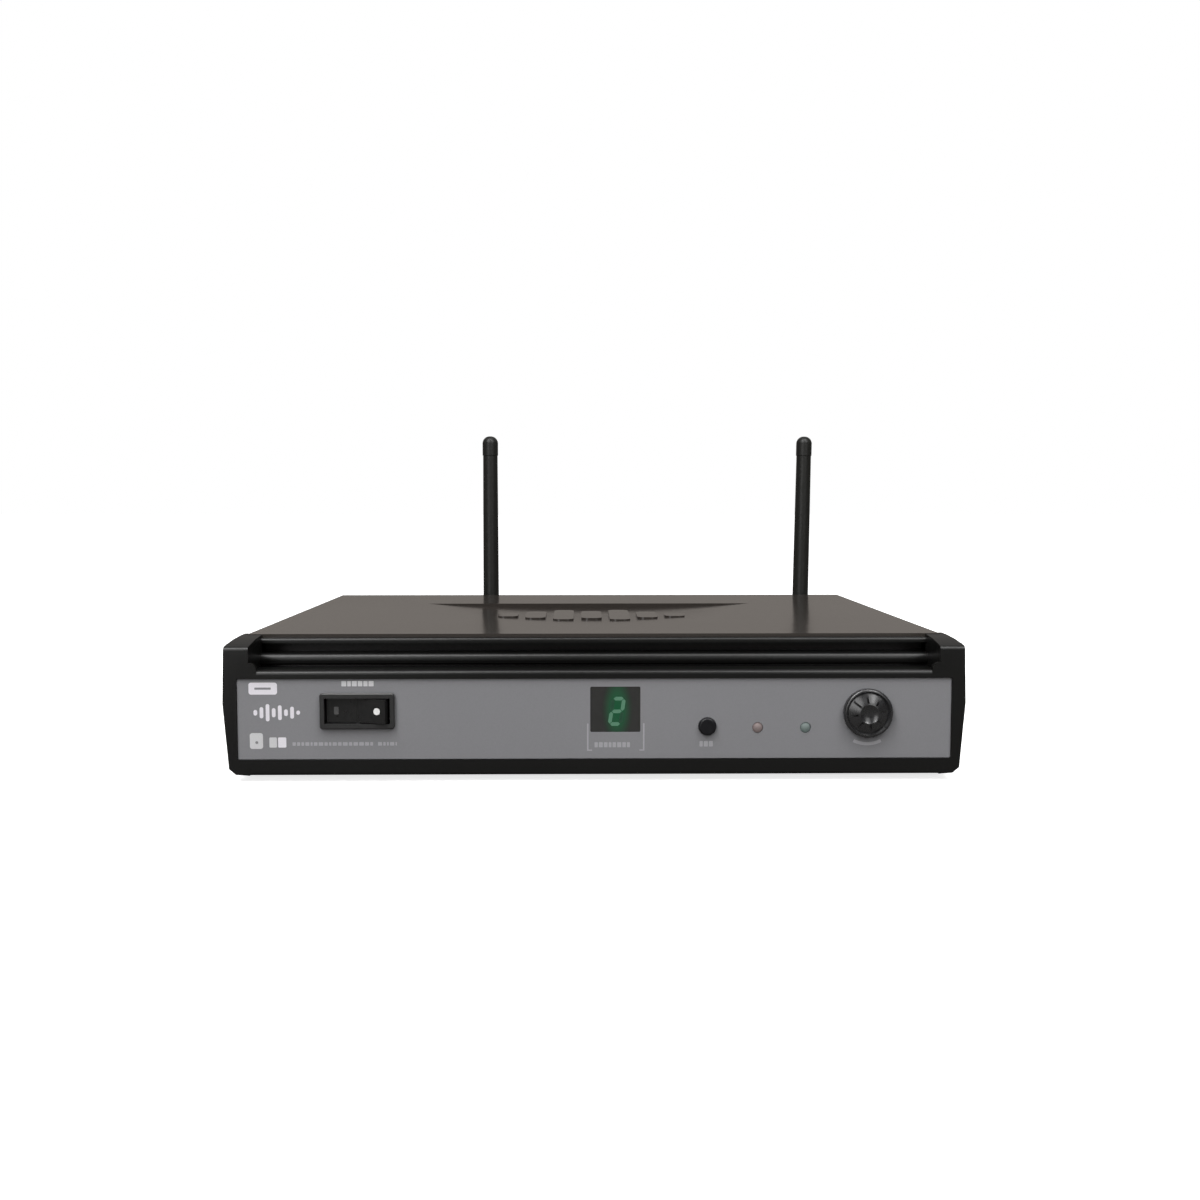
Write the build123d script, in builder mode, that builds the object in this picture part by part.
from build123d import *
import math
import os

os.makedirs("parts", exist_ok=True)

# ---------------------------------------------------------------------------
# Single-channel wireless microphone receiver, half-rack class.
# Millimetres, +X right seen from the front, front face towards -Y, +Z up.
# Origin: middle of the whole object's footprint, at the underside of the feet.
# ---------------------------------------------------------------------------

# --- driving dimensions: outside -------------------------------------------
BEZEL_HALF = 105.0        # half width of the moulded front frame
COVER_HALF = 102.5        # half width of the steel cover
BODY_D = 174.0            # bezel front face to rear panel outer face
COVER_TOP = 38.5          # top of cover above the bezel's underside
FOOT_PROUD = 2.0          # feet below the bezel's underside
SHEET = 1.0               # steel sheet thickness
KNOB_PROUD = 2.6          # knob tip in front of the bezel face
KNUCKLE_REACH = 13.0      # antenna knuckle behind the rear panel
CHEEK_IN = 97.6           # inner wall of the bezel's end cheeks
BEZEL_D = 17.0            # bezel depth at the cheeks
SIDE_LIP = 5.0            # further reach of the thin lips over the cover's sides
RECESS_D = 13.5           # depth of the open step above the front lip
LIP_TOP = 29.8            # top of the front lip
LEDGE_Z = 29.2            # floor of the step behind the lip
BEAD_TOP = 33.1           # top of the rounded bar behind the step
SLOT_TOP = 36.0           # top of the dark slot above the bar
BAR_TOP = 37.5            # top of the upper bar, where the cover starts

# --- driving dimensions: front controls ------------------------------------
PANEL_HALF = 101.0
PANEL_Z0, PANEL_Z1 = 4.6, 27.4
PANEL_Y0, PANEL_T = 0.5, 1.5
SWITCH_X, SWITCH_Z = -67.15, 18.4
SWITCH_W, SWITCH_H = 21.0, 10.2
ROCKER_PIVOT_Y = 1.6
ROCKER_TILT = 10.0        # rocker lies this far off centre at each end stop
WIN_X0, WIN_X1 = -1.5, 12.7
WIN_Z0, WIN_Z1 = 12.15, 25.1
BUTTON_X, BUTTON_Z, BUTTON_R = 31.7, 13.7, 2.5
BUTTON_TRAVEL = 0.8
LED_XS, LED_Z, LED_R = (46.0, 59.6), 13.3, 1.5
KNOB_X, KNOB_Z, KNOB_R = 77.2, 17.5, 7.0
SHAFT_R = 3.0
RUN = 0.05                # radial running clearance of every shaft

# --- driving dimensions: rear ----------------------------------------------
ANT_Y, ANT_Z = 182.0, 22.0
LEFT_ANT_X, RIGHT_ANT_X = -41.4, 87.65
RIGHT_ANT_TILT = 0.8
ANT_TIP_Z = 103.7
XLR_X, XLR_Z = 45.0, 20.0
JACK_X, JACK_Z, JACK_BORE_R = 10.0, 16.5, 3.25
SQUELCH_X, SQUELCH_Z = -15.0, 15.0
DC_X, DC_Z = -88.0, 15.0
HOOK_X = -72.0
BOARD_Z, BOARD_T = 7.0, 1.6
BEZEL_SCREWS = ((99.4, 6.0), (-99.4, 6.0), (99.4, 27.0), (-99.4, 27.0))

FRONT_Y = -(BODY_D + KNUCKLE_REACH - KNOB_PROUD) / 2.0


def fy(d):
    """Y of a plane d behind the bezel's front face."""
    return FRONT_Y + d


def hz(h):
    """Z of a level h above the bezel's underside."""
    return FOOT_PROUD + h


def facing(d):
    """Front-view plane (local x = X, local y = Z), d behind the bezel face."""
    return Plane(origin=(0, fy(d), 0), x_dir=(1, 0, 0), z_dir=(0, -1, 0))


def level(h):
    """Plan-view plane, h above the bezel's underside."""
    return Plane.XY.offset(hz(h))


# ============================ front frame ==================================

with BuildPart() as front_bezel:
    # end cheeks: front-view outline, drawn right and mirrored
    with BuildSketch(facing(0)):
        with BuildLine():
            Polyline(
                (CHEEK_IN, hz(0.0)),
                (101.6, hz(0.25)),
                (103.5, hz(1.9)),
                (BEZEL_HALF, hz(20.5)),
                (BEZEL_HALF - 0.5, hz(36.9)),
                (BEZEL_HALF - 1.6, hz(COVER_TOP)),
                (CHEEK_IN, hz(COVER_TOP)),
                close=True,
            )
        make_face()
        mirror(about=Plane.YZ)
    extrude(amount=-BEZEL_D)
    # thin side lips that overlap the cover's sides
    with BuildSketch(facing(BEZEL_D)):
        with BuildLine():
            Polyline(
                (COVER_HALF + 0.15, hz(1.0)),
                (103.5, hz(1.9)),
                (BEZEL_HALF, hz(20.5)),
                (BEZEL_HALF - 0.5, hz(36.9)),
                (BEZEL_HALF - 1.3, hz(COVER_TOP - 0.3)),
                (COVER_HALF + 0.15, hz(COVER_TOP - 0.3)),
                close=True,
            )
        make_face()
        mirror(about=Plane.YZ)
    extrude(amount=-SIDE_LIP)
    # cheek tops fall towards the front
    with BuildSketch(Plane.YZ):
        with BuildLine():
            Polyline(
                (fy(-1.0), hz(36.3)),
                (fy(9.0), hz(37.8)),
                (fy(20.0), hz(COVER_TOP)),
                (fy(20.0), hz(COVER_TOP + 3)),
                (fy(-1.0), hz(COVER_TOP + 3)),
                close=True,
            )
        make_face()
    extrude(amount=BEZEL_HALF + 5, both=True, mode=Mode.SUBTRACT)
    fillet(front_bezel.faces().sort_by(Axis.Y)[0:2].edges().filter_by(Axis.X).group_by(Axis.Z)[-1], 1.1)
    # cheeks are hollow from behind, solid where the fixing screws enter
    with BuildSketch(facing(BEZEL_D)):
        with Locations((101.2, hz(17.0)), (-101.2, hz(17.0))):
            Rectangle(4.2, 12.0)
    extrude(amount=BEZEL_D - 3.0, mode=Mode.SUBTRACT)
    # upper rail: front lip, step, rounded bar, slot pocket and upper bar
    with BuildSketch(Plane.YZ) as upper_section:
        with BuildLine():
            Polyline(
                (fy(0.0), hz(27.5)),
                (fy(0.0), hz(LIP_TOP)),
                (fy(1.6), hz(LIP_TOP)),
                (fy(2.2), hz(LEDGE_Z)),
                (fy(RECESS_D + 1.9), hz(LEDGE_Z)),
                (fy(RECESS_D + 1.9), hz(LEDGE_Z + 0.5)),
                (fy(RECESS_D), hz(LEDGE_Z + 0.5)),
                (fy(RECESS_D), hz(BEAD_TOP)),
                (fy(21.0), hz(BEAD_TOP)),
                (fy(21.0), hz(SLOT_TOP)),
                (fy(15.0), hz(SLOT_TOP)),
                (fy(15.0), hz(BAR_TOP)),
                (fy(22.5), hz(BAR_TOP)),
                (fy(22.5), hz(31.4)),
                (fy(17.0), hz(31.4)),
                (fy(17.0), hz(27.6)),
                (fy(4.0), hz(27.6)),
                (fy(4.0), hz(25.8)),
                (fy(2.0), hz(25.8)),
                (fy(2.0), hz(27.5)),
                close=True,
            )
        make_face()
        fillet(upper_section.vertices().filter_by(lambda v: abs(v.X - fy(0.0)) < 0.01 and abs(v.Y - hz(LIP_TOP)) < 0.01), 1.2)
        fillet(upper_section.vertices().filter_by(lambda v: abs(v.X - fy(RECESS_D)) < 0.01 and abs(v.Y - hz(BEAD_TOP)) < 0.01), 1.8)
        fillet(upper_section.vertices().filter_by(lambda v: abs(v.X - fy(RECESS_D)) < 0.01 and abs(v.Y - hz(LEDGE_Z + 0.5)) < 0.01), 1.5)
        fillet(upper_section.vertices().filter_by(lambda v: abs(v.X - fy(15.0)) < 0.01 and abs(v.Y - hz(BAR_TOP)) < 0.01), 0.9)
    extrude(amount=CHEEK_IN, both=True)
    # rounded inner corners where the lip meets the cheeks
    with BuildSketch(facing(0.0)):
        with BuildLine():
            l1 = Line((CHEEK_IN, hz(LIP_TOP + 2.2)), (CHEEK_IN, hz(LIP_TOP - 1.4)))
            l2 = Line(l1 @ 1, (CHEEK_IN - 2.2, hz(LIP_TOP - 1.4)))
            l3 = Line(l2 @ 1, (CHEEK_IN - 2.2, hz(LIP_TOP)))
            RadiusArc(l3 @ 1, l1 @ 0, 2.2)
        make_face()
        mirror(about=Plane.YZ)
    extrude(amount=-1.6)
    # lower rail
    with BuildSketch(Plane.YZ) as lower_section:
        with BuildLine():
            Polyline(
                (fy(0.0), hz(0.0)),
                (fy(0.0), hz(4.5)),
                (fy(2.0), hz(4.5)),
                (fy(2.0), hz(6.3)),
                (fy(4.0), hz(6.3)),
                (fy(4.0), hz(2.2)),
                (fy(17.0), hz(2.2)),
                (fy(17.0), hz(0.0)),
                close=True,
            )
        make_face()
        fillet(lower_section.vertices().filter_by(lambda v: abs(v.X - fy(0.0)) < 0.01 and abs(v.Y - hz(0.0)) < 0.01), 1.0)
    extrude(amount=CHEEK_IN, both=True)
    # seat of the fascia plate, let into the front of the frame
    with BuildSketch(facing(-1.0)):
        with Locations((0, hz((PANEL_Z0 + PANEL_Z1) / 2))):
            RectangleRounded(2 * PANEL_HALF + 0.2, PANEL_Z1 - PANEL_Z0 + 0.2, 0.6)
    extrude(amount=-3.0, mode=Mode.SUBTRACT)
    # pilot holes of the four fixing screws
    with BuildSketch(facing(BEZEL_D)):
        with Locations(*[(x, hz(z)) for x, z in BEZEL_SCREWS]):
            Circle(1.4)
    extrude(amount=9.0, mode=Mode.SUBTRACT)
front_bezel.part.label = "front_bezel"
export_step(front_bezel.part, "parts/front_bezel.step")

with BuildPart() as front_panel:
    with BuildSketch(facing(PANEL_Y0)):
        with Locations((0, hz((PANEL_Z0 + PANEL_Z1) / 2))):
            RectangleRounded(2 * PANEL_HALF, PANEL_Z1 - PANEL_Z0, 0.5)
        with Locations((SWITCH_X, hz(SWITCH_Z))):
            Rectangle(19.6, 9.2, mode=Mode.SUBTRACT)
        with Locations(((WIN_X0 + WIN_X1) / 2, hz((WIN_Z0 + WIN_Z1) / 2))):
            RectangleRounded(WIN_X1 - WIN_X0, WIN_Z1 - WIN_Z0, 0.4, mode=Mode.SUBTRACT)
        with Locations((BUTTON_X, hz(BUTTON_Z))):
            Circle(BUTTON_R + 0.1, mode=Mode.SUBTRACT)
        with Locations(*[(x, hz(LED_Z)) for x in LED_XS]):
            Circle(LED_R + 0.05, mode=Mode.SUBTRACT)
        with Locations((KNOB_X, hz(KNOB_Z))):
            Circle(3.6, mode=Mode.SUBTRACT)
    extrude(amount=-PANEL_T)
front_panel.part.label = "front_panel"
export_step(front_panel.part, "parts/front_panel.step")

with BuildPart() as display_window:
    with BuildSketch(facing(PANEL_Y0 + 0.1)):
        with Locations(((WIN_X0 + WIN_X1) / 2, hz((WIN_Z0 + WIN_Z1) / 2))):
            RectangleRounded(WIN_X1 - WIN_X0, WIN_Z1 - WIN_Z0, 0.4)
    extrude(amount=-(PANEL_T - 0.1))
    # glued flange behind the fascia
    with BuildSketch(facing(PANEL_Y0 + PANEL_T)):
        with Locations(((WIN_X0 + WIN_X1) / 2, hz((WIN_Z0 + WIN_Z1) / 2))):
            RectangleRounded(WIN_X1 - WIN_X0 + 2.4, WIN_Z1 - WIN_Z0 + 1.2, 0.6)
    extrude(amount=-0.8)
display_window.part.label = "display_window"
export_step(display_window.part, "parts/display_window.step")

# ============================ front board ==================================

FB_Y, FB_T = 10.5, 1.6
PILLARS = ((-8.0, 9.6), (90.0, 9.6), (-8.0, 23.2), (90.0, 23.2))

with BuildPart() as front_board:
    with BuildSketch(facing(FB_Y)):
        with Locations((41.0, hz(16.8))):
            Rectangle(106.0, 19.6)
        with Locations(*[(x, hz(z)) for x, z in PILLARS]):
            Circle(1.3, mode=Mode.SUBTRACT)
    extrude(amount=-FB_T)
front_board.part.label = "front_board"
export_step(front_board.part, "parts/front_board.step")

with BuildPart() as front_board_pillars:
    with BuildSketch(facing(PANEL_Y0 + PANEL_T)):
        with Locations(*[(x, hz(z)) for x, z in PILLARS]):
            Circle(2.4)
            Circle(1.0, mode=Mode.SUBTRACT)
    extrude(amount=-(FB_Y - PANEL_Y0 - PANEL_T))
front_board_pillars.part.label = "front_board_pillars"
export_step(front_board_pillars.part, "parts/front_board_pillars.step")

with BuildPart() as front_board_screws:
    with BuildSketch(facing(FB_Y + FB_T + 1.6)) as heads:
        with Locations(*[(x, hz(z)) for x, z in PILLARS]):
            Circle(2.2)
    extrude(amount=1.6)
    with BuildSketch(facing(FB_Y + FB_T)) as shanks:
        with Locations(*[(x, hz(z)) for x, z in PILLARS]):
            Circle(1.0)
    extrude(amount=6.0)
    # cross recess in each head
    with BuildSketch(facing(FB_Y + FB_T + 1.6)):
        with Locations(*[(x, hz(z)) for x, z in PILLARS]):
            Rectangle(2.4, 0.5)
            Rectangle(0.5, 2.4)
    extrude(amount=0.8, mode=Mode.SUBTRACT)
front_board_screws.part.label = "front_board_screws"
export_step(front_board_screws.part, "parts/front_board_screws.step")

with BuildPart() as digit_display:
    with BuildSketch(facing(3.6)):
        with Locations((5.7, hz(18.4))):
            Rectangle(10.0, 12.6)
    extrude(amount=-(FB_Y - 3.6))
    chamfer(digit_display.faces().sort_by(Axis.Y)[0].edges(), 0.3)
digit_display.part.label = "digit_display"
export_step(digit_display.part, "parts/digit_display.step")

for led_name, led_x in (("left_led", LED_XS[0]), ("right_led", LED_XS[1])):
    with BuildPart() as led:
        with BuildSketch(Plane(origin=(led_x, fy(0), hz(LED_Z)), x_dir=(0, -1, 0), z_dir=(0, 0, 1))) as half:
            with BuildLine():
                # half profile from the domed tip back to the flange and body
                a1 = Line((-1.4, LED_R), (-4.6, LED_R))
                a2 = Line(a1 @ 1, (-4.6, LED_R + 0.3))
                a3 = Line(a2 @ 1, (-5.6, LED_R + 0.3))
                a4 = Line(a3 @ 1, (-5.6, 0.0))
                a5 = Line(a4 @ 1, (0.1, 0.0))
                ThreePointArc(a5 @ 1, (-0.3393, 1.0607), a1 @ 0)
            make_face()
        revolve(axis=Axis((led_x, fy(0), hz(LED_Z)), (0, 1, 0)))
        # two wire legs down to the board
        with BuildSketch(facing(5.6)):
            with Locations((led_x - 0.9, hz(LED_Z)), (led_x + 0.9, hz(LED_Z))):
                Rectangle(0.5, 0.5)
        extrude(amount=-(FB_Y - 5.6))
    led.part.label = led_name
    export_step(led.part, "parts/" + led_name + ".step")

with BuildPart() as tact_switch:
    with BuildSketch(facing(7.0)):
        with Locations((BUTTON_X, hz(BUTTON_Z))):
            Rectangle(6.0, 6.0)
    extrude(amount=-(FB_Y - 7.0))
    with BuildSketch(facing(7.0)):
        with Locations((BUTTON_X, hz(BUTTON_Z))):
            Circle(1.7 + RUN)
    extrude(amount=-2.3, mode=Mode.SUBTRACT)
tact_switch.part.label = "tact_switch"
export_step(tact_switch.part, "parts/tact_switch.step")

with BuildPart() as tact_plunger:
    with BuildSketch(facing(6.0)):
        with Locations((BUTTON_X, hz(BUTTON_Z))):
            Circle(1.7)
    extrude(amount=-2.2)
tact_plunger.part.label = "tact_plunger"
export_step(tact_plunger.part, "parts/tact_plunger.step")

with BuildPart() as channel_button:
    with BuildSketch(facing(-0.7)):
        with Locations((BUTTON_X, hz(BUTTON_Z))):
            Circle(BUTTON_R)
    extrude(amount=-3.7)
    fillet(channel_button.faces().sort_by(Axis.Y)[0].edges(), 0.6)
    with BuildSketch(facing(2.4)):
        with Locations((BUTTON_X, hz(BUTTON_Z))):
            Circle(3.3)
    extrude(amount=-0.8)
    with BuildSketch(facing(3.2)):
        with Locations((BUTTON_X, hz(BUTTON_Z))):
            Circle(1.2)
    extrude(amount=-2.8)
channel_button.part.label = "channel_button"
export_step(channel_button.part, "parts/channel_button.step")

# ============================ volume control ===============================

KNOB_AXIS = Axis((KNOB_X, fy(0), hz(KNOB_Z)), (0, 1, 0))
FLUTES = 8

with BuildPart() as volume_pot:
    with BuildSketch(facing(4.0)):
        with Locations((KNOB_X, hz(KNOB_Z))):
            RectangleRounded(16.0, 17.0, 2.0)
    extrude(amount=-(FB_Y - 4.0))
    with BuildSketch(facing(1.0)):
        with Locations((KNOB_X, hz(KNOB_Z))):
            Circle(3.5)
    extrude(amount=-3.0)
    with BuildSketch(facing(0.9)):
        with Locations((KNOB_X, hz(KNOB_Z))):
            Circle(SHAFT_R + RUN)
    extrude(amount=-8.8, mode=Mode.SUBTRACT)
volume_pot.part.label = "volume_pot"
export_step(volume_pot.part, "parts/volume_pot.step")

with BuildPart() as volume_shaft:
    with BuildSketch(facing(-1.4)):
        with Locations((KNOB_X, hz(KNOB_Z))):
            Circle(SHAFT_R)
    extrude(amount=-10.9)
volume_shaft.part.label = "volume_shaft"
export_step(volume_shaft.part, "parts/volume_shaft.step")

with BuildPart() as volume_knob:
    # turned blank: rounded rim, narrow valley, low cone and a finger dimple in its top
    with BuildSketch(Plane(origin=(KNOB_X, fy(0), hz(KNOB_Z)), x_dir=(0, -1, 0), z_dir=(0, 0, 1))):
        with BuildLine():
            k1 = Line((-0.2, 0.0), (-0.2, KNOB_R))
            k2 = Line(k1 @ 1, (0.8, KNOB_R))
            k3 = ThreePointArc(k2 @ 1, (1.38, KNOB_R - 0.25), (1.6, KNOB_R - 0.8))
            k4 = Line(k3 @ 1, (1.05, KNOB_R - 1.25))
            k5 = Line(k4 @ 1, (2.5, 3.0))
            k6 = Line(k5 @ 1, (KNOB_PROUD, 2.7))
            k7 = ThreePointArc(k6 @ 1, (2.08, 1.75), (1.85, 0.8))
            k8 = Line(k7 @ 1, (1.85, 0.0))
            Line(k8 @ 1, k1 @ 0)
        make_face()
    revolve(axis=KNOB_AXIS)
    # radial grooves that part the cone into petals
    with BuildSketch(facing(-KNOB_PROUD - 0.2)):
        with Locations((KNOB_X, hz(KNOB_Z))):
            with PolarLocations(4.5, FLUTES, start_angle=6.5):
                Rectangle(3.1, 0.6)
    extrude(amount=-(KNOB_PROUD + 0.2 - 1.25), mode=Mode.SUBTRACT)
    # blind bore for the shaft
    with BuildSketch(facing(0.2)):
        with Locations((KNOB_X, hz(KNOB_Z))):
            Circle(SHAFT_R)
    extrude(amount=1.6, mode=Mode.SUBTRACT)
volume_knob.part.label = "volume_knob"
export_step(volume_knob.part, "parts/volume_knob.step")

# ============================ power switch =================================

with BuildPart() as switch_housing:
    with BuildSketch(facing(-0.8)):
        with Locations((SWITCH_X, hz(SWITCH_Z))):
            RectangleRounded(SWITCH_W, SWITCH_H, 0.8)
    extrude(amount=-1.3)
    chamfer(switch_housing.faces().sort_by(Axis.Y)[0].edges(), 0.3)
    with BuildSketch(facing(0.5)):
        with Locations((SWITCH_X, hz(SWITCH_Z))):
            Rectangle(19.4, 9.0)
    extrude(amount=-13.5)
    with BuildSketch(facing(-1.0)):
        with Locations((SWITCH_X, hz(SWITCH_Z))):
            Rectangle(18.5, 7.3)
    extrude(amount=-9.0, mode=Mode.SUBTRACT)
    # trunnion holes in the long walls
    with BuildSketch(Plane(origin=(SWITCH_X, fy(ROCKER_PIVOT_Y), hz(SWITCH_Z)), x_dir=(1, 0, 0), z_dir=(0, 0, 1))):
        Circle(1.0 + RUN)
    extrude(amount=4.2, both=True, mode=Mode.SUBTRACT)
switch_housing.part.label = "switch_housing"
export_step(switch_housing.part, "parts/switch_housing.step")

TILT = math.radians(ROCKER_TILT)
ROCKER_PLANE = Plane(
    origin=(SWITCH_X, fy(ROCKER_PIVOT_Y), hz(SWITCH_Z)),
    x_dir=(math.cos(TILT), -math.sin(TILT), 0),
    z_dir=(0, 0, 1),
)

with BuildPart() as switch_rocker:
    # plan profile about the pivot: shallow valley in front, rounded flanks
    with BuildSketch(ROCKER_PLANE) as rocker_plan:
        with BuildLine():
            r1 = Line((-8.55, -2.2), (-0.5, -0.95))
            r2 = Line(r1 @ 1, (0.5, -0.95))
            r3 = Line(r2 @ 1, (8.55, -2.2))
            r4 = ThreePointArc(r3 @ 1, (8.8, -0.6), (8.5, 1.4))
            r5 = Line(r4 @ 1, (5.2, 4.2))
            r6 = Line(r5 @ 1, (-5.2, 4.2))
            r7 = Line(r6 @ 1, (-8.5, 1.4))
            ThreePointArc(r7 @ 1, (-8.8, -0.6), r1 @ 0)
        make_face()
    extrude(amount=3.4, both=True)
    # trunnions
    with BuildSketch(ROCKER_PLANE):
        Circle(1.0)
    extrude(amount=4.1, both=True)
switch_rocker.part.label = "switch_rocker"
export_step(switch_rocker.part, "parts/switch_rocker.step")

with BuildPart() as switch_terminals:
    with BuildSketch(facing(14.0)):
        with Locations((SWITCH_X - 5.0, hz(SWITCH_Z)), (SWITCH_X + 5.0, hz(SWITCH_Z))):
            Rectangle(0.8, 4.8)
    extrude(amount=-7.0)
switch_terminals.part.label = "switch_terminals"
export_step(switch_terminals.part, "parts/switch_terminals.step")

# ============================ casing =======================================

FLOOR_0, FLOOR_1 = 1.0, 2.0
FEET = ((-85.0, 32.0), (85.0, 32.0), (-85.0, 158.0), (85.0, 158.0))
SIDE_SCREWS = ((60.0, 7.0), (145.0, 7.0))
REAR_SCREWS = ((-60.0, 4.9), (68.0, 4.9), (-94.0, 34.2), (94.0, 34.2))
STANDOFFS = ((-88.0, 34.0), (0.0, 34.0), (88.0, 34.0), (-88.0, 148.0), (-8.0, 146.0), (88.0, 148.0))

with BuildPart() as bottom_chassis:
    with BuildSketch(level(FLOOR_0)):
        with Locations((0, fy((17.0 + 173.0) / 2))):
            Rectangle(203.0, 156.0)
    extrude(amount=SHEET)
    # side flanges
    with BuildSketch(level(FLOOR_1)):
        with Locations((101.0, fy(97.0)), (-101.0, fy(97.0))):
            Rectangle(1.0, 150.0)
    extrude(amount=10.0)
    # front wall behind the controls
    with BuildSketch(facing(17.0)):
        with Locations((0, hz(16.0))):
            Rectangle(203.0, 28.0)
        with Locations((SWITCH_X, hz(SWITCH_Z))):
            Rectangle(22.0, 11.0, mode=Mode.SUBTRACT)
        with Locations((41.0, hz(10.0))):
            Rectangle(30.0, 8.0, mode=Mode.SUBTRACT)
        with Locations(*[(x, hz(z)) for x, z in BEZEL_SCREWS]):
            Circle(1.6, mode=Mode.SUBTRACT)
    extrude(amount=-SHEET)
    # rear flange
    with BuildSketch(facing(172.0)):
        with Locations((0, hz(5.0))):
            Rectangle(203.0, 6.0)
        with Locations((XLR_X, hz(XLR_Z))):
            Rectangle(28.0, 34.0, mode=Mode.SUBTRACT)
        with Locations(*[(x, hz(z)) for x, z in REAR_SCREWS[:2]]):
            Circle(1.5, mode=Mode.SUBTRACT)
    extrude(amount=-SHEET)
    # tapped holes for the cover screws
    with BuildSketch(Plane.YZ):
        with Locations(*[(fy(y), hz(z)) for y, z in SIDE_SCREWS]):
            Circle(1.5)
    extrude(amount=110.0, both=True, mode=Mode.SUBTRACT)
bottom_chassis.part.label = "bottom_chassis"
export_step(bottom_chassis.part, "parts/bottom_chassis.step")

# shallow pressed dish in the cover: its rear wall is steep, its floor rises forward
DISH_WALL_Y = 129.0
DISH_X0, DISH_X1 = -61.5, 59.5
DISH_DEPTH = 2.0
DISH_RUN = 92.0
DISH_DIR = (0, -DISH_RUN, DISH_DEPTH)
MARK_X, MARK_Y = -0.5, 79.0
MARK_BARS = (11.0, 20.0, 29.0, 22.0, 30.0, 18.0, 10.0)
MARK_BAR_W, MARK_PITCH = 6.8, 9.4

with BuildPart() as top_cover:
    # folded sheet: section across the width
    with BuildSketch(facing(17.0)):
        with BuildLine():
            Polyline(
                (-COVER_HALF, hz(1.0)),
                (-COVER_HALF, hz(COVER_TOP - 0.8)),
                (-COVER_HALF + 0.8, hz(COVER_TOP)),
                (COVER_HALF - 0.8, hz(COVER_TOP)),
                (COVER_HALF, hz(COVER_TOP - 0.8)),
                (COVER_HALF, hz(1.0)),
                (COVER_HALF - SHEET, hz(1.0)),
                (COVER_HALF - SHEET, hz(COVER_TOP - 1.3)),
                (COVER_HALF - 1.3, hz(COVER_TOP - SHEET)),
                (-COVER_HALF + 1.3, hz(COVER_TOP - SHEET)),
                (-COVER_HALF + SHEET, hz(COVER_TOP - 1.3)),
                (-COVER_HALF + SHEET, hz(1.0)),
                close=True,
            )
        make_face()
    extrude(amount=-(BODY_D - 17.0))
    # turned-down lip that the rear panel screws into
    with BuildSketch(facing(172.0)):
        with Locations((0, hz(34.5))):
            Rectangle(203.0, 6.0)
        with Locations((XLR_X, hz(XLR_Z))):
            Rectangle(28.0, 33.0, mode=Mode.SUBTRACT)
        with Locations(*[(x, hz(z)) for x, z in REAR_SCREWS[2:]]):
            Circle(1.5, mode=Mode.SUBTRACT)
    extrude(amount=-SHEET)
    # metal under the dish
    with BuildSketch(facing(DISH_WALL_Y + 1.0)):
        with BuildLine():
            d1 = ThreePointArc(
                (DISH_X0 - 1.0, hz(COVER_TOP - 1.0)),
                ((DISH_X0 + DISH_X1) / 2, hz(COVER_TOP - DISH_DEPTH - 1.0)),
                (DISH_X1 + 1.0, hz(COVER_TOP - 1.0)),
            )
            Line(d1 @ 1, d1 @ 0)
        make_face()
    extrude(amount=DISH_RUN, dir=DISH_DIR)
    with BuildSketch(level(COVER_TOP)):
        with Locations((0, fy(90.0))):
            Rectangle(180.0, 120.0)
    extrude(amount=4.0, mode=Mode.SUBTRACT)
    # the dish itself
    with BuildSketch(facing(DISH_WALL_Y)):
        with BuildLine():
            e1 = ThreePointArc(
                (DISH_X0, hz(COVER_TOP)),
                ((DISH_X0 + DISH_X1) / 2, hz(COVER_TOP - DISH_DEPTH)),
                (DISH_X1, hz(COVER_TOP)),
            )
            e2 = Line(e1 @ 1, (DISH_X1, hz(COVER_TOP + 3)))
            e3 = Line(e2 @ 1, (DISH_X0, hz(COVER_TOP + 3)))
            Line(e3 @ 1, e1 @ 0)
        make_face()
    extrude(amount=DISH_RUN + 4.0, dir=DISH_DIR, mode=Mode.SUBTRACT)
    # raised sound-level symbol standing in the dish: rounded bars side by side
    with BuildSketch(level(COVER_TOP - DISH_DEPTH - 0.5)):
        for i, length in enumerate(MARK_BARS):
            with Locations((MARK_X + (i - (len(MARK_BARS) - 1) / 2) * MARK_PITCH, fy(MARK_Y))):
                RectangleRounded(MARK_BAR_W, length, 2.4)
    extrude(amount=DISH_DEPTH + 1.1)
    # their tops fall gently towards the front
    with BuildSketch(Plane.YZ):
        with BuildLine():
            Polyline(
                (fy(MARK_Y + 16.0), hz(COVER_TOP + 0.55)),
                (fy(MARK_Y - 16.0), hz(COVER_TOP - 0.1)),
                (fy(MARK_Y - 16.0), hz(COVER_TOP + 3.0)),
                (fy(MARK_Y + 16.0), hz(COVER_TOP + 3.0)),
                close=True,
            )
        make_face()
    extrude(amount=33.0, both=True, mode=Mode.SUBTRACT)
    # clearance holes for the cover screws
    with BuildSketch(Plane.YZ):
        with Locations(*[(fy(y), hz(z)) for y, z in SIDE_SCREWS]):
            Circle(1.6)
    extrude(amount=110.0, both=True, mode=Mode.SUBTRACT)
top_cover.part.label = "top_cover"
export_step(top_cover.part, "parts/top_cover.step")

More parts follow.
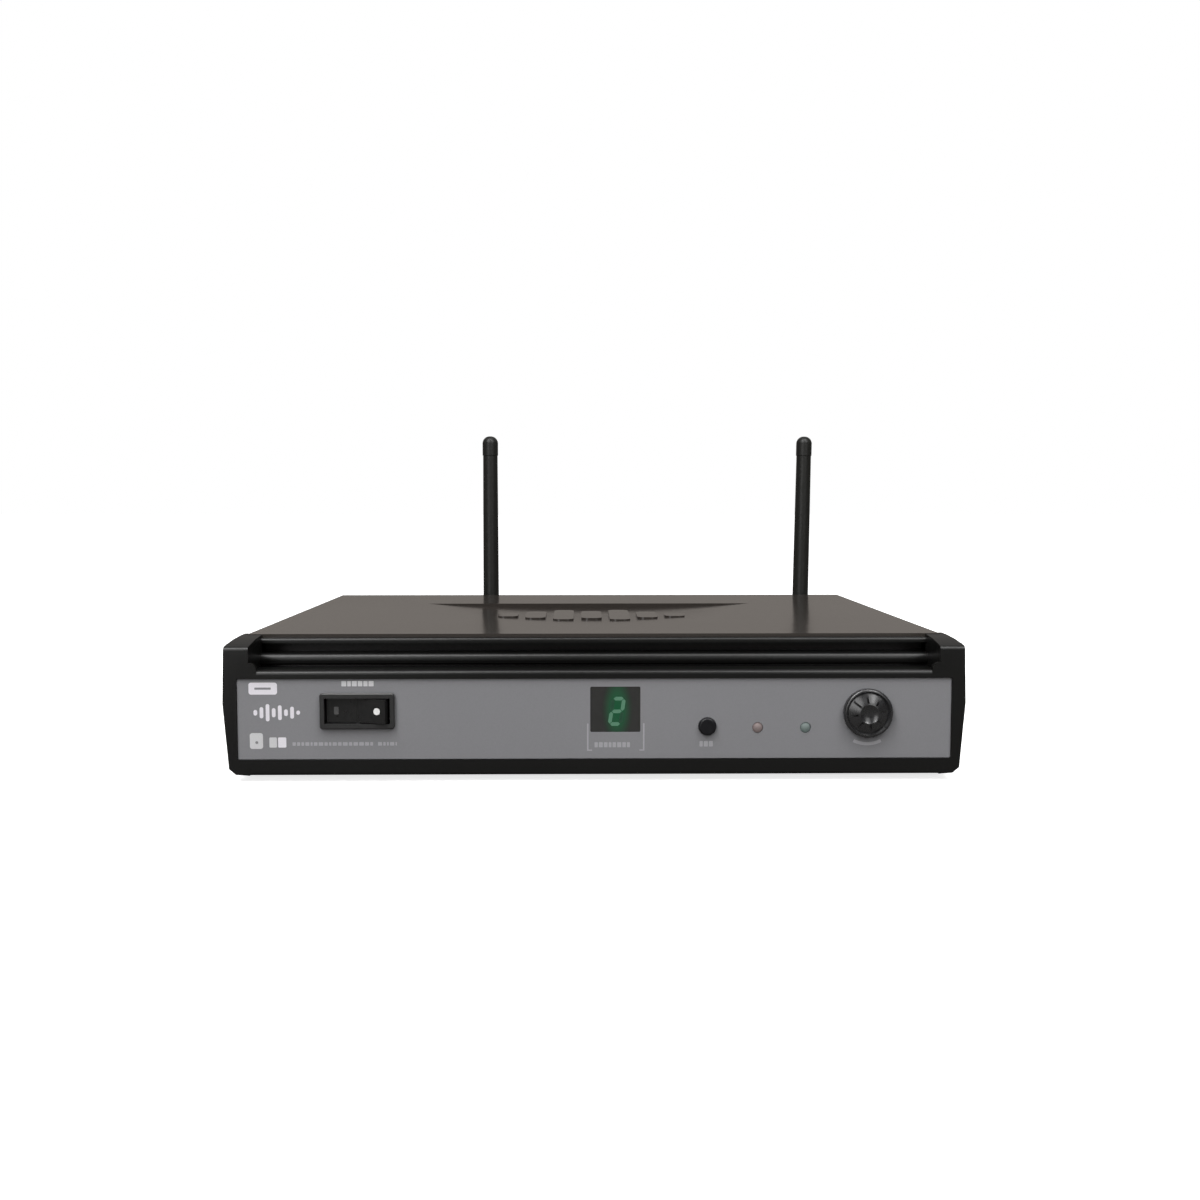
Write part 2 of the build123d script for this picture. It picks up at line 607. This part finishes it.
with BuildPart() as rear_panel:
    with BuildSketch(facing(173.0)) as rear_outline:
        with Locations((0, hz(19.2))):
            Rectangle(202.8, 36.4)
        chamfer(rear_outline.vertices().group_by(Axis.Z)[-1], 1.6)
        with Locations((XLR_X, hz(XLR_Z))):
            Circle(10.9, mode=Mode.SUBTRACT)
        with Locations((XLR_X - 9.5, hz(XLR_Z + 12.0)), (XLR_X + 9.5, hz(XLR_Z - 12.0))):
            Circle(1.5, mode=Mode.SUBTRACT)
        with Locations((JACK_X, hz(JACK_Z))):
            Circle(4.8, mode=Mode.SUBTRACT)
        with Locations((SQUELCH_X, hz(SQUELCH_Z))):
            Circle(2.2, mode=Mode.SUBTRACT)
        with Locations((DC_X, hz(DC_Z))):
            Circle(4.4, mode=Mode.SUBTRACT)
        with Locations((LEFT_ANT_X, hz(ANT_Z)), (RIGHT_ANT_X, hz(ANT_Z))):
            Circle(4.0, mode=Mode.SUBTRACT)
        with Locations(*[(x, hz(z)) for x, z in REAR_SCREWS]):
            Circle(1.6, mode=Mode.SUBTRACT)
    extrude(amount=-SHEET)
rear_panel.part.label = "rear_panel"
export_step(rear_panel.part, "parts/rear_panel.step")

with BuildPart() as rubber_feet:
    with BuildSketch(level(-FOOT_PROUD)):
        with Locations(*[(x, fy(y)) for x, y in FEET]):
            Circle(6.0)
    extrude(amount=FOOT_PROUD + FLOOR_0, taper=4.0)
rubber_feet.part.label = "rubber_feet"
export_step(rubber_feet.part, "parts/rubber_feet.step")

# ---- fasteners ------------------------------------------------------------

with BuildPart() as cover_screws:
    for side in (1, -1):
        with BuildSketch(Plane(origin=(side * COVER_HALF, 0, 0), x_dir=(0, 1, 0), z_dir=(1, 0, 0))):
            with Locations(*[(fy(y), hz(z)) for y, z in SIDE_SCREWS]):
                Circle(2.9)
        extrude(amount=side * 1.7)
        with BuildSketch(Plane(origin=(side * COVER_HALF, 0, 0), x_dir=(0, 1, 0), z_dir=(1, 0, 0))):
            with Locations(*[(fy(y), hz(z)) for y, z in SIDE_SCREWS]):
                Circle(1.5)
        extrude(amount=-side * 5.0)
        with BuildSketch(Plane(origin=(side * (COVER_HALF + 1.7), 0, 0), x_dir=(0, 1, 0), z_dir=(1, 0, 0))):
            with Locations(*[(fy(y), hz(z)) for y, z in SIDE_SCREWS]):
                Rectangle(3.2, 0.6)
                Rectangle(0.6, 3.2)
        extrude(amount=-side * 1.0, mode=Mode.SUBTRACT)
cover_screws.part.label = "cover_screws"
export_step(cover_screws.part, "parts/cover_screws.step")

with BuildPart() as rear_panel_screws:
    with BuildSketch(facing(174.0)):
        with Locations(*[(x, hz(z)) for x, z in REAR_SCREWS]):
            Circle(2.7)
    extrude(amount=-1.6)
    with BuildSketch(facing(174.0)):
        with Locations(*[(x, hz(z)) for x, z in REAR_SCREWS]):
            Circle(1.5)
    extrude(amount=5.0)
    with BuildSketch(facing(175.6)):
        with Locations(*[(x, hz(z)) for x, z in REAR_SCREWS]):
            Rectangle(3.0, 0.6)
            Rectangle(0.6, 3.0)
    extrude(amount=0.9, mode=Mode.SUBTRACT)
rear_panel_screws.part.label = "rear_panel_screws"
export_step(rear_panel_screws.part, "parts/rear_panel_screws.step")

with BuildPart() as bezel_screws:
    # self-tapping screws driven forward through the chassis wall
    with BuildSketch(facing(18.0)):
        with Locations(*[(x, hz(z)) for x, z in BEZEL_SCREWS]):
            Circle(1.4)
    extrude(amount=9.0)
    with BuildSketch(facing(19.6)):
        with Locations(*[(x, hz(z)) for x, z in BEZEL_SCREWS]):
            Circle(2.0)
    extrude(amount=1.6)
bezel_screws.part.label = "bezel_screws"
export_step(bezel_screws.part, "parts/bezel_screws.step")

# ============================ main board ===================================

BOARD_TOP = BOARD_Z + BOARD_T

with BuildPart() as main_board:
    with BuildSketch(level(BOARD_Z)):
        with BuildLine():
            Polyline(
                (-96.0, fy(28.0)),
                (96.0, fy(28.0)),
                (96.0, fy(152.0)),
                (26.0, fy(152.0)),
                (26.0, fy(171.0)),
                (-96.0, fy(171.0)),
                close=True,
            )
        make_face()
        with Locations(*[(x, fy(y)) for x, y in STANDOFFS]):
            Circle(1.6, mode=Mode.SUBTRACT)
    extrude(amount=BOARD_T)
main_board.part.label = "main_board"
export_step(main_board.part, "parts/main_board.step")

with BuildPart() as board_standoffs:
    with BuildSketch(level(FLOOR_1)):
        with Locations(*[(x, fy(y)) for x, y in STANDOFFS]):
            RegularPolygon(3.0, 6)
            Circle(1.5, mode=Mode.SUBTRACT)
    extrude(amount=BOARD_Z - FLOOR_1)
board_standoffs.part.label = "board_standoffs"
export_step(board_standoffs.part, "parts/board_standoffs.step")

with BuildPart() as board_screws:
    with BuildSketch(level(BOARD_TOP)):
        with Locations(*[(x, fy(y)) for x, y in STANDOFFS]):
            Circle(2.8)
    extrude(amount=1.6)
    with BuildSketch(level(BOARD_TOP)):
        with Locations(*[(x, fy(y)) for x, y in STANDOFFS]):
            Circle(1.5)
    extrude(amount=-5.0)
    with BuildSketch(level(BOARD_TOP + 1.6)):
        with Locations(*[(x, fy(y)) for x, y in STANDOFFS]):
            Rectangle(3.2, 0.6)
            Rectangle(0.6, 3.2)
    extrude(amount=-0.9, mode=Mode.SUBTRACT)
board_screws.part.label = "board_screws"
export_step(board_screws.part, "parts/board_screws.step")

with BuildPart() as tuner_shields:
    # one folded can over each receiving channel, open underneath
    with BuildSketch(level(BOARD_TOP)):
        with Locations((-60.0, fy(112.0)), (66.0, fy(112.0))):
            RectangleRounded(46.0, 34.0, 1.0)
    extrude(amount=11.0)
    with BuildSketch(level(BOARD_TOP)):
        with Locations((-60.0, fy(112.0)), (66.0, fy(112.0))):
            Rectangle(45.0, 33.0)
    extrude(amount=10.5, mode=Mode.SUBTRACT)
tuner_shields.part.label = "tuner_shields"
export_step(tuner_shields.part, "parts/tuner_shields.step")

CHIPS = ((-5.0, 70.0, 14.0, 14.0), (30.0, 72.0, 10.0, 8.0), (-40.0, 66.0, 10.0, 8.0), (8.0, 104.0, 12.0, 9.0), (60.0, 66.0, 8.0, 6.0))

with BuildPart() as integrated_circuits:
    for cx, cy, cw, cd in CHIPS:
        with BuildSketch(level(BOARD_TOP)):
            with Locations((cx, fy(cy))):
                Rectangle(cw, cd)
        extrude(amount=2.0)
integrated_circuits.part.label = "integrated_circuits"
export_step(integrated_circuits.part, "parts/integrated_circuits.step")

CAPS = ((-82.0, 62.0), (-82.0, 76.0), (-82.0, 90.0), (-66.0, 62.0), (28.0, 128.0), (-24.0, 134.0))

with BuildPart() as electrolytic_capacitors:
    with BuildSketch(level(BOARD_TOP)):
        with Locations(*[(x, fy(y)) for x, y in CAPS]):
            Circle(4.0)
    extrude(amount=11.5)
    fillet(electrolytic_capacitors.faces().filter_by(Axis.Z).group_by(Axis.Z)[-1].edges(), 0.6)
electrolytic_capacitors.part.label = "electrolytic_capacitors"
export_step(electrolytic_capacitors.part, "parts/electrolytic_capacitors.step")

with BuildPart() as crystal_cans:
    with BuildSketch(level(BOARD_TOP)):
        with Locations((10.0, fy(86.0)), (-22.0, fy(86.0))):
            SlotOverall(11.0, 4.6)
    extrude(amount=3.6)
crystal_cans.part.label = "crystal_cans"
export_step(crystal_cans.part, "parts/crystal_cans.step")

with BuildPart() as voltage_regulator:
    # upright tab package on its legs, with a folded heat spreader behind it
    with BuildSketch(level(BOARD_TOP + 3.0)):
        with Locations((-89.0, fy(112.0))):
            Rectangle(4.5, 10.0)
    extrude(amount=9.0)
    with BuildSketch(level(BOARD_TOP)):
        with Locations((-89.0, fy(109.5)), (-89.0, fy(112.0)), (-89.0, fy(114.5))):
            Rectangle(0.6, 1.0)
    extrude(amount=3.0)
    with BuildSketch(level(BOARD_TOP)):
        with Locations((-92.0, fy(112.0))):
            Rectangle(1.5, 18.0)
    extrude(amount=20.0)
voltage_regulator.part.label = "voltage_regulator"
export_step(voltage_regulator.part, "parts/voltage_regulator.step")

with BuildPart() as ribbon_connectors:
    with BuildSketch(facing(FB_Y + FB_T)):
        with Locations((41.0, hz(10.0))):
            Rectangle(22.0, 4.0)
    extrude(amount=-2.5)
    with BuildSketch(level(BOARD_TOP)):
        with Locations((41.0, fy(36.0))):
            Rectangle(22.0, 5.0)
    extrude(amount=4.0)
ribbon_connectors.part.label = "ribbon_connectors"
export_step(ribbon_connectors.part, "parts/ribbon_connectors.step")

with BuildPart() as ribbon_cable:
    # flat cable: back from the front board, up and over into the board socket
    with BuildSketch(Plane.YZ.offset(31.0)):
        with BuildLine():
            FilletPolyline(
                (fy(FB_Y + FB_T + 2.5), hz(10.0)),
                (fy(26.0), hz(10.0)),
                (fy(26.0), hz(19.0)),
                (fy(36.0), hz(19.0)),
                (fy(36.0), hz(BOARD_TOP + 4.0)),
                radius=2.5,
            )
        trace(line_width=1.0)
    extrude(amount=20.0)
ribbon_cable.part.label = "ribbon_cable"
export_step(ribbon_cable.part, "parts/ribbon_cable.step")

with BuildPart() as switch_leads:
    # two insulated wires from the switch blades down to the board
    for wx, ex in ((SWITCH_X - 5.0, SWITCH_X - 3.0), (SWITCH_X + 5.0, SWITCH_X + 3.0)):
        with BuildLine() as lead_path:
            FilletPolyline(
                (wx, fy(21.0), hz(SWITCH_Z)),
                (wx, fy(30.0), hz(SWITCH_Z)),
                (ex, fy(37.0), hz(SWITCH_Z - 1.0)),
                (ex, fy(41.0), hz(SWITCH_Z - 5.0)),
                (ex, fy(41.0), hz(BOARD_TOP)),
                radius=1.8,
            )
        with BuildSketch(Plane(origin=lead_path.line @ 0, z_dir=lead_path.line % 0)):
            Circle(0.9)
        sweep(path=lead_path.line)
switch_leads.part.label = "switch_leads"
export_step(switch_leads.part, "parts/switch_leads.step")

# ============================ rear sockets =================================

with BuildPart() as xlr_shell:
    with BuildSketch(facing(174.0)):
        with Locations((XLR_X, hz(XLR_Z))):
            RectangleRounded(26.0, 31.0, 2.5)
            Circle(9.5, mode=Mode.SUBTRACT)
        with Locations((XLR_X - 9.5, hz(XLR_Z + 12.0)), (XLR_X + 9.5, hz(XLR_Z - 12.0))):
            Circle(1.6, mode=Mode.SUBTRACT)
    extrude(amount=-2.0)
    with BuildSketch(facing(174.0)):
        with Locations((XLR_X, hz(XLR_Z))):
            Circle(10.8)
            Circle(9.5, mode=Mode.SUBTRACT)
    extrude(amount=18.0)
xlr_shell.part.label = "xlr_shell"
export_step(xlr_shell.part, "parts/xlr_shell.step")

PIN_SPOTS = [
    (XLR_X + 5.0 * math.cos(math.radians(a)), hz(XLR_Z) + 5.0 * math.sin(math.radians(a)))
    for a in (30.0, 150.0, 270.0)
]

with BuildPart() as xlr_insert:
    with BuildSketch(facing(160.0)):
        with Locations((XLR_X, hz(XLR_Z))):
            Circle(9.5)
        with Locations(*PIN_SPOTS):
            Circle(1.2, mode=Mode.SUBTRACT)
    extrude(amount=4.0)
xlr_insert.part.label = "xlr_insert"
export_step(xlr_insert.part, "parts/xlr_insert.step")

with BuildPart() as xlr_pins:
    with BuildSketch(facing(154.0)):
        with Locations(*PIN_SPOTS):
            Circle(1.2)
    extrude(amount=-18.0)
    fillet(xlr_pins.faces().filter_by(Axis.Y).group_by(Axis.Y)[-1].edges(), 0.7)
xlr_pins.part.label = "xlr_pins"
export_step(xlr_pins.part, "parts/xlr_pins.step")

with BuildPart() as xlr_screws:
    with BuildSketch(facing(176.0)):
        with Locations((XLR_X - 9.5, hz(XLR_Z + 12.0)), (XLR_X + 9.5, hz(XLR_Z - 12.0))):
            Circle(2.6)
    extrude(amount=-1.2)
    with BuildSketch(facing(176.0)):
        with Locations((XLR_X - 9.5, hz(XLR_Z + 12.0)), (XLR_X + 9.5, hz(XLR_Z - 12.0))):
            Circle(1.5)
    extrude(amount=6.5)
    with BuildSketch(facing(177.2)):
        with Locations((XLR_X - 9.5, hz(XLR_Z + 12.0)), (XLR_X + 9.5, hz(XLR_Z - 12.0))):
            Rectangle(3.0, 0.6)
            Rectangle(0.6, 3.0)
    extrude(amount=0.7, mode=Mode.SUBTRACT)
xlr_screws.part.label = "xlr_screws"
export_step(xlr_screws.part, "parts/xlr_screws.step")

with BuildPart() as jack_body:
    with BuildSketch(facing(173.0)):
        with Locations((JACK_X, hz(JACK_Z))):
            Rectangle(15.0, 2 * (JACK_Z - BOARD_TOP))
            Circle(JACK_BORE_R, mode=Mode.SUBTRACT)
    extrude(amount=29.0)
    # stepped seat of the threaded bush
    with BuildSketch(facing(173.0)):
        with Locations((JACK_X, hz(JACK_Z))):
            Circle(4.7)
    extrude(amount=8.0, mode=Mode.SUBTRACT)
jack_body.part.label = "jack_body"
export_step(jack_body.part, "parts/jack_body.step")

with BuildPart() as jack_bush:
    with BuildSketch(facing(165.0)):
        with Locations((JACK_X, hz(JACK_Z))):
            Circle(4.7)
            Circle(JACK_BORE_R, mode=Mode.SUBTRACT)
    extrude(amount=-12.2)
jack_bush.part.label = "jack_bush"
export_step(jack_bush.part, "parts/jack_bush.step")

with BuildPart() as jack_nut:
    with BuildSketch(facing(174.0)):
        with Locations((JACK_X, hz(JACK_Z))):
            RegularPolygon(7.0, 6)
            Circle(4.7, mode=Mode.SUBTRACT)
    extrude(amount=-2.4)
jack_nut.part.label = "jack_nut"
export_step(jack_nut.part, "parts/jack_nut.step")

with BuildPart() as squelch_pot:
    with BuildSketch(facing(164.0)):
        with Locations((SQUELCH_X, hz(SQUELCH_Z))):
            Rectangle(10.0, 2 * (SQUELCH_Z - BOARD_TOP))
    extrude(amount=-6.0)
    with BuildSketch(facing(170.0)):
        with Locations((SQUELCH_X, hz(SQUELCH_Z))):
            Circle(1.5 + RUN)
    extrude(amount=4.5, mode=Mode.SUBTRACT)
squelch_pot.part.label = "squelch_pot"
export_step(squelch_pot.part, "parts/squelch_pot.step")

with BuildPart() as squelch_trimmer:
    with BuildSketch(facing(166.0)):
        with Locations((SQUELCH_X, hz(SQUELCH_Z))):
            Circle(1.5)
    extrude(amount=-8.6)
    # screwdriver slot
    with BuildSketch(facing(174.6)):
        with Locations((SQUELCH_X, hz(SQUELCH_Z))):
            Rectangle(0.7, 4.0)
    extrude(amount=1.2, mode=Mode.SUBTRACT)
squelch_trimmer.part.label = "squelch_trimmer"
export_step(squelch_trimmer.part, "parts/squelch_trimmer.step")

DC_BORE_R, DC_PIN_R = 2.95, 1.05

with BuildPart() as dc_inlet:
    with BuildSketch(facing(173.0)):
        with Locations((DC_X, hz(DC_Z))):
            Rectangle(10.0, 2 * (DC_Z - BOARD_TOP))
            Circle(DC_BORE_R, mode=Mode.SUBTRACT)
    extrude(amount=11.5)
    with BuildSketch(facing(173.0)):
        with Locations((DC_X, hz(DC_Z))):
            Circle(4.3)
            Circle(DC_BORE_R, mode=Mode.SUBTRACT)
    extrude(amount=-1.6)
    with BuildSketch(facing(161.5)):
        with Locations((DC_X, hz(DC_Z))):
            Rectangle(10.0, 2 * (DC_Z - BOARD_TOP))
            Circle(DC_PIN_R, mode=Mode.SUBTRACT)
    extrude(amount=1.5)
dc_inlet.part.label = "dc_inlet"
export_step(dc_inlet.part, "parts/dc_inlet.step")

with BuildPart() as dc_pin:
    with BuildSketch(facing(158.5)):
        with Locations((DC_X, hz(DC_Z))):
            Circle(DC_PIN_R)
    extrude(amount=-14.0)
    fillet(dc_pin.faces().sort_by(Axis.Y)[-1].edges(), 0.5)
dc_pin.part.label = "dc_pin"
export_step(dc_pin.part, "parts/dc_pin.step")

with BuildPart() as cord_hook:
    # plan profile of an open hook that keeps the supply lead from being pulled out
    with BuildSketch(level(DC_Z - 4.0)):
        with BuildLine():
            Polyline(
                (HOOK_X - 5.0, fy(174.0)),
                (HOOK_X + 5.0, fy(174.0)),
                (HOOK_X + 5.0, fy(178.3)),
                (HOOK_X - 3.6, fy(178.3)),
                (HOOK_X - 3.6, fy(177.0)),
                (HOOK_X + 3.6, fy(177.0)),
                (HOOK_X + 3.6, fy(175.2)),
                (HOOK_X - 5.0, fy(175.2)),
                close=True,
            )
        make_face()
    extrude(amount=8.0)
cord_hook.part.label = "cord_hook"
export_step(cord_hook.part, "parts/cord_hook.step")

# ============================ antennas =====================================

BOTH_ANT = ((LEFT_ANT_X, hz(ANT_Z)), (RIGHT_ANT_X, hz(ANT_Z)))
STEM_R = 2.5

with BuildPart() as antenna_bushes:
    with BuildSketch(facing(169.0)):
        with Locations(*BOTH_ANT):
            Circle(4.0)
            Circle(STEM_R + RUN, mode=Mode.SUBTRACT)
    extrude(amount=-5.0)
    with BuildSketch(facing(174.0)):
        with Locations(*BOTH_ANT):
            Circle(6.4)
            Circle(STEM_R + RUN, mode=Mode.SUBTRACT)
    extrude(amount=-0.6)
antenna_bushes.part.label = "antenna_bushes"
export_step(antenna_bushes.part, "parts/antenna_bushes.step")

with BuildPart() as antenna_nuts:
    with BuildSketch(facing(170.4)):
        with Locations(*BOTH_ANT):
            RegularPolygon(6.6, 6)
            Circle(4.0, mode=Mode.SUBTRACT)
    extrude(amount=-2.6)
antenna_nuts.part.label = "antenna_nuts"
export_step(antenna_nuts.part, "parts/antenna_nuts.step")

PIN_R = 1.25
ROD_LENGTH = ANT_TIP_Z - ANT_Z

for side_name, ant_x, tilt_deg in (("left", LEFT_ANT_X, 0.0), ("right", RIGHT_ANT_X, RIGHT_ANT_TILT)):
    t = math.radians(tilt_deg)
    centre = (ant_x, fy(ANT_Y), hz(ANT_Z))
    across = (math.cos(t), 0.0, -math.sin(t))
    along = (math.sin(t), 0.0, math.cos(t))
    side_plane = Plane(origin=centre, x_dir=(0, 1, 0), z_dir=across)
    front_of_rod = Plane(origin=centre, x_dir=across, z_dir=(0, -1, 0))

    with BuildPart() as knuckle:
        # two rounded cheeks, then the gap that takes the rod's tongue
        with BuildSketch(side_plane):
            with Locations((-2.25, 0.0)):
                Rectangle(4.5, 10.0)
            Circle(5.0)
        extrude(amount=4.6, both=True)
        with BuildSketch(side_plane):
            with Locations((1.0, 0.0)):
                Rectangle(11.1, 14.0)
            Circle(4.55)
        extrude(amount=2.3, both=True, mode=Mode.SUBTRACT)
        with BuildSketch(side_plane):
            Circle(PIN_R)
        extrude(amount=6.0, both=True, mode=Mode.SUBTRACT)
        # barrel and stem that turn in the bush
        with BuildSketch(facing(174.8)):
            with Locations((ant_x, hz(ANT_Z))):
                Circle(6.0)
        extrude(amount=-2.55)
        with BuildSketch(facing(168.8)):
            with Locations((ant_x, hz(ANT_Z))):
                Circle(STEM_R)
        extrude(amount=-6.0)
        with BuildSketch(facing(167.6)):
            with Locations((ant_x, hz(ANT_Z))):
                Circle(3.7)
        extrude(amount=-1.2)
        with BuildSketch(facing(167.6)):
            with Locations((ant_x, hz(ANT_Z))):
                Circle(1.0)
        extrude(amount=-6.0, mode=Mode.SUBTRACT)
    knuckle.part.label = side_name + "_antenna_knuckle"
    export_step(knuckle.part, "parts/" + side_name + "_antenna_knuckle.step")

    with BuildPart() as hinge_pin:
        with BuildSketch(side_plane):
            Circle(PIN_R)
        extrude(amount=4.9, both=True)
        fillet(hinge_pin.faces().filter_by(GeomType.PLANE).edges(), 0.25)
    hinge_pin.part.label = side_name + "_antenna_pin"
    export_step(hinge_pin.part, "parts/" + side_name + "_antenna_pin.step")

    with BuildPart() as rod:
        # flat tongue between the cheeks
        with BuildSketch(side_plane):
            Circle(4.0)
            with Locations((0.0, 3.5)):
                Rectangle(8.0, 7.0)
            Circle(PIN_R + RUN, mode=Mode.SUBTRACT)
        extrude(amount=2.1, both=True)
        # turned boot, then the long sheathed rod, very slightly tapered
        with BuildSketch(front_of_rod):
            with BuildLine():
                b1 = Line((0.0, 5.7), (4.2, 5.7))
                b2 = Line(b1 @ 1, (4.2, 10.0))
                b3 = Line(b2 @ 1, (3.25, 13.0))
                b4 = Line(b3 @ 1, (3.0, ROD_LENGTH - 8.0))
                b5 = Line(b4 @ 1, (0.0, ROD_LENGTH - 8.0))
                Line(b5 @ 1, b1 @ 0)
            make_face()
        revolve(axis=Axis(centre, along))
    rod.part.label = side_name + "_antenna_rod"
    export_step(rod.part, "parts/" + side_name + "_antenna_rod.step")

    tip_base = tuple(c + a * (ROD_LENGTH - 8.0) for c, a in zip(centre, along))
    with BuildPart() as tip:
        # moulded cap, a little fatter than the rod, with a domed end
        with BuildSketch(Plane(origin=tip_base, x_dir=across, z_dir=along)):
            Circle(3.2)
        extrude(amount=8.0)
        fillet(tip.faces().sort_by(Axis.Z)[-1].edges(), 2.95)
        chamfer(tip.faces().sort_by(Axis.Z)[0].edges(), 0.2)
    tip.part.label = side_name + "_antenna_tip"
    export_step(tip.part, "parts/" + side_name + "_antenna_tip.step")

with BuildPart() as coax_connectors:
    with BuildSketch(level(BOARD_TOP)):
        with Locations((LEFT_ANT_X, fy(138.0)), (RIGHT_ANT_X - 5.0, fy(138.0))):
            Circle(2.2)
    extrude(amount=3.0)
coax_connectors.part.label = "coax_connectors"
export_step(coax_connectors.part, "parts/coax_connectors.step")

with BuildPart() as coax_leads:
    # thin screened leads from each antenna stem to its tuner
    for ax, bx in ((LEFT_ANT_X, LEFT_ANT_X), (RIGHT_ANT_X, RIGHT_ANT_X - 5.0)):
        with BuildLine() as coax_path:
            FilletPolyline(
                (ax, fy(167.0), hz(ANT_Z)),
                (ax, fy(156.0), hz(ANT_Z)),
                (bx, fy(146.0), hz(ANT_Z + 2.0)),
                (bx, fy(138.0), hz(ANT_Z - 1.0)),
                (bx, fy(138.0), hz(BOARD_TOP + 3.0)),
                radius=3.0,
            )
        with BuildSketch(Plane(origin=coax_path.line @ 0, z_dir=coax_path.line % 0)):
            Circle(0.9)
        sweep(path=coax_path.line)
coax_leads.part.label = "coax_leads"
export_step(coax_leads.part, "parts/coax_leads.step")
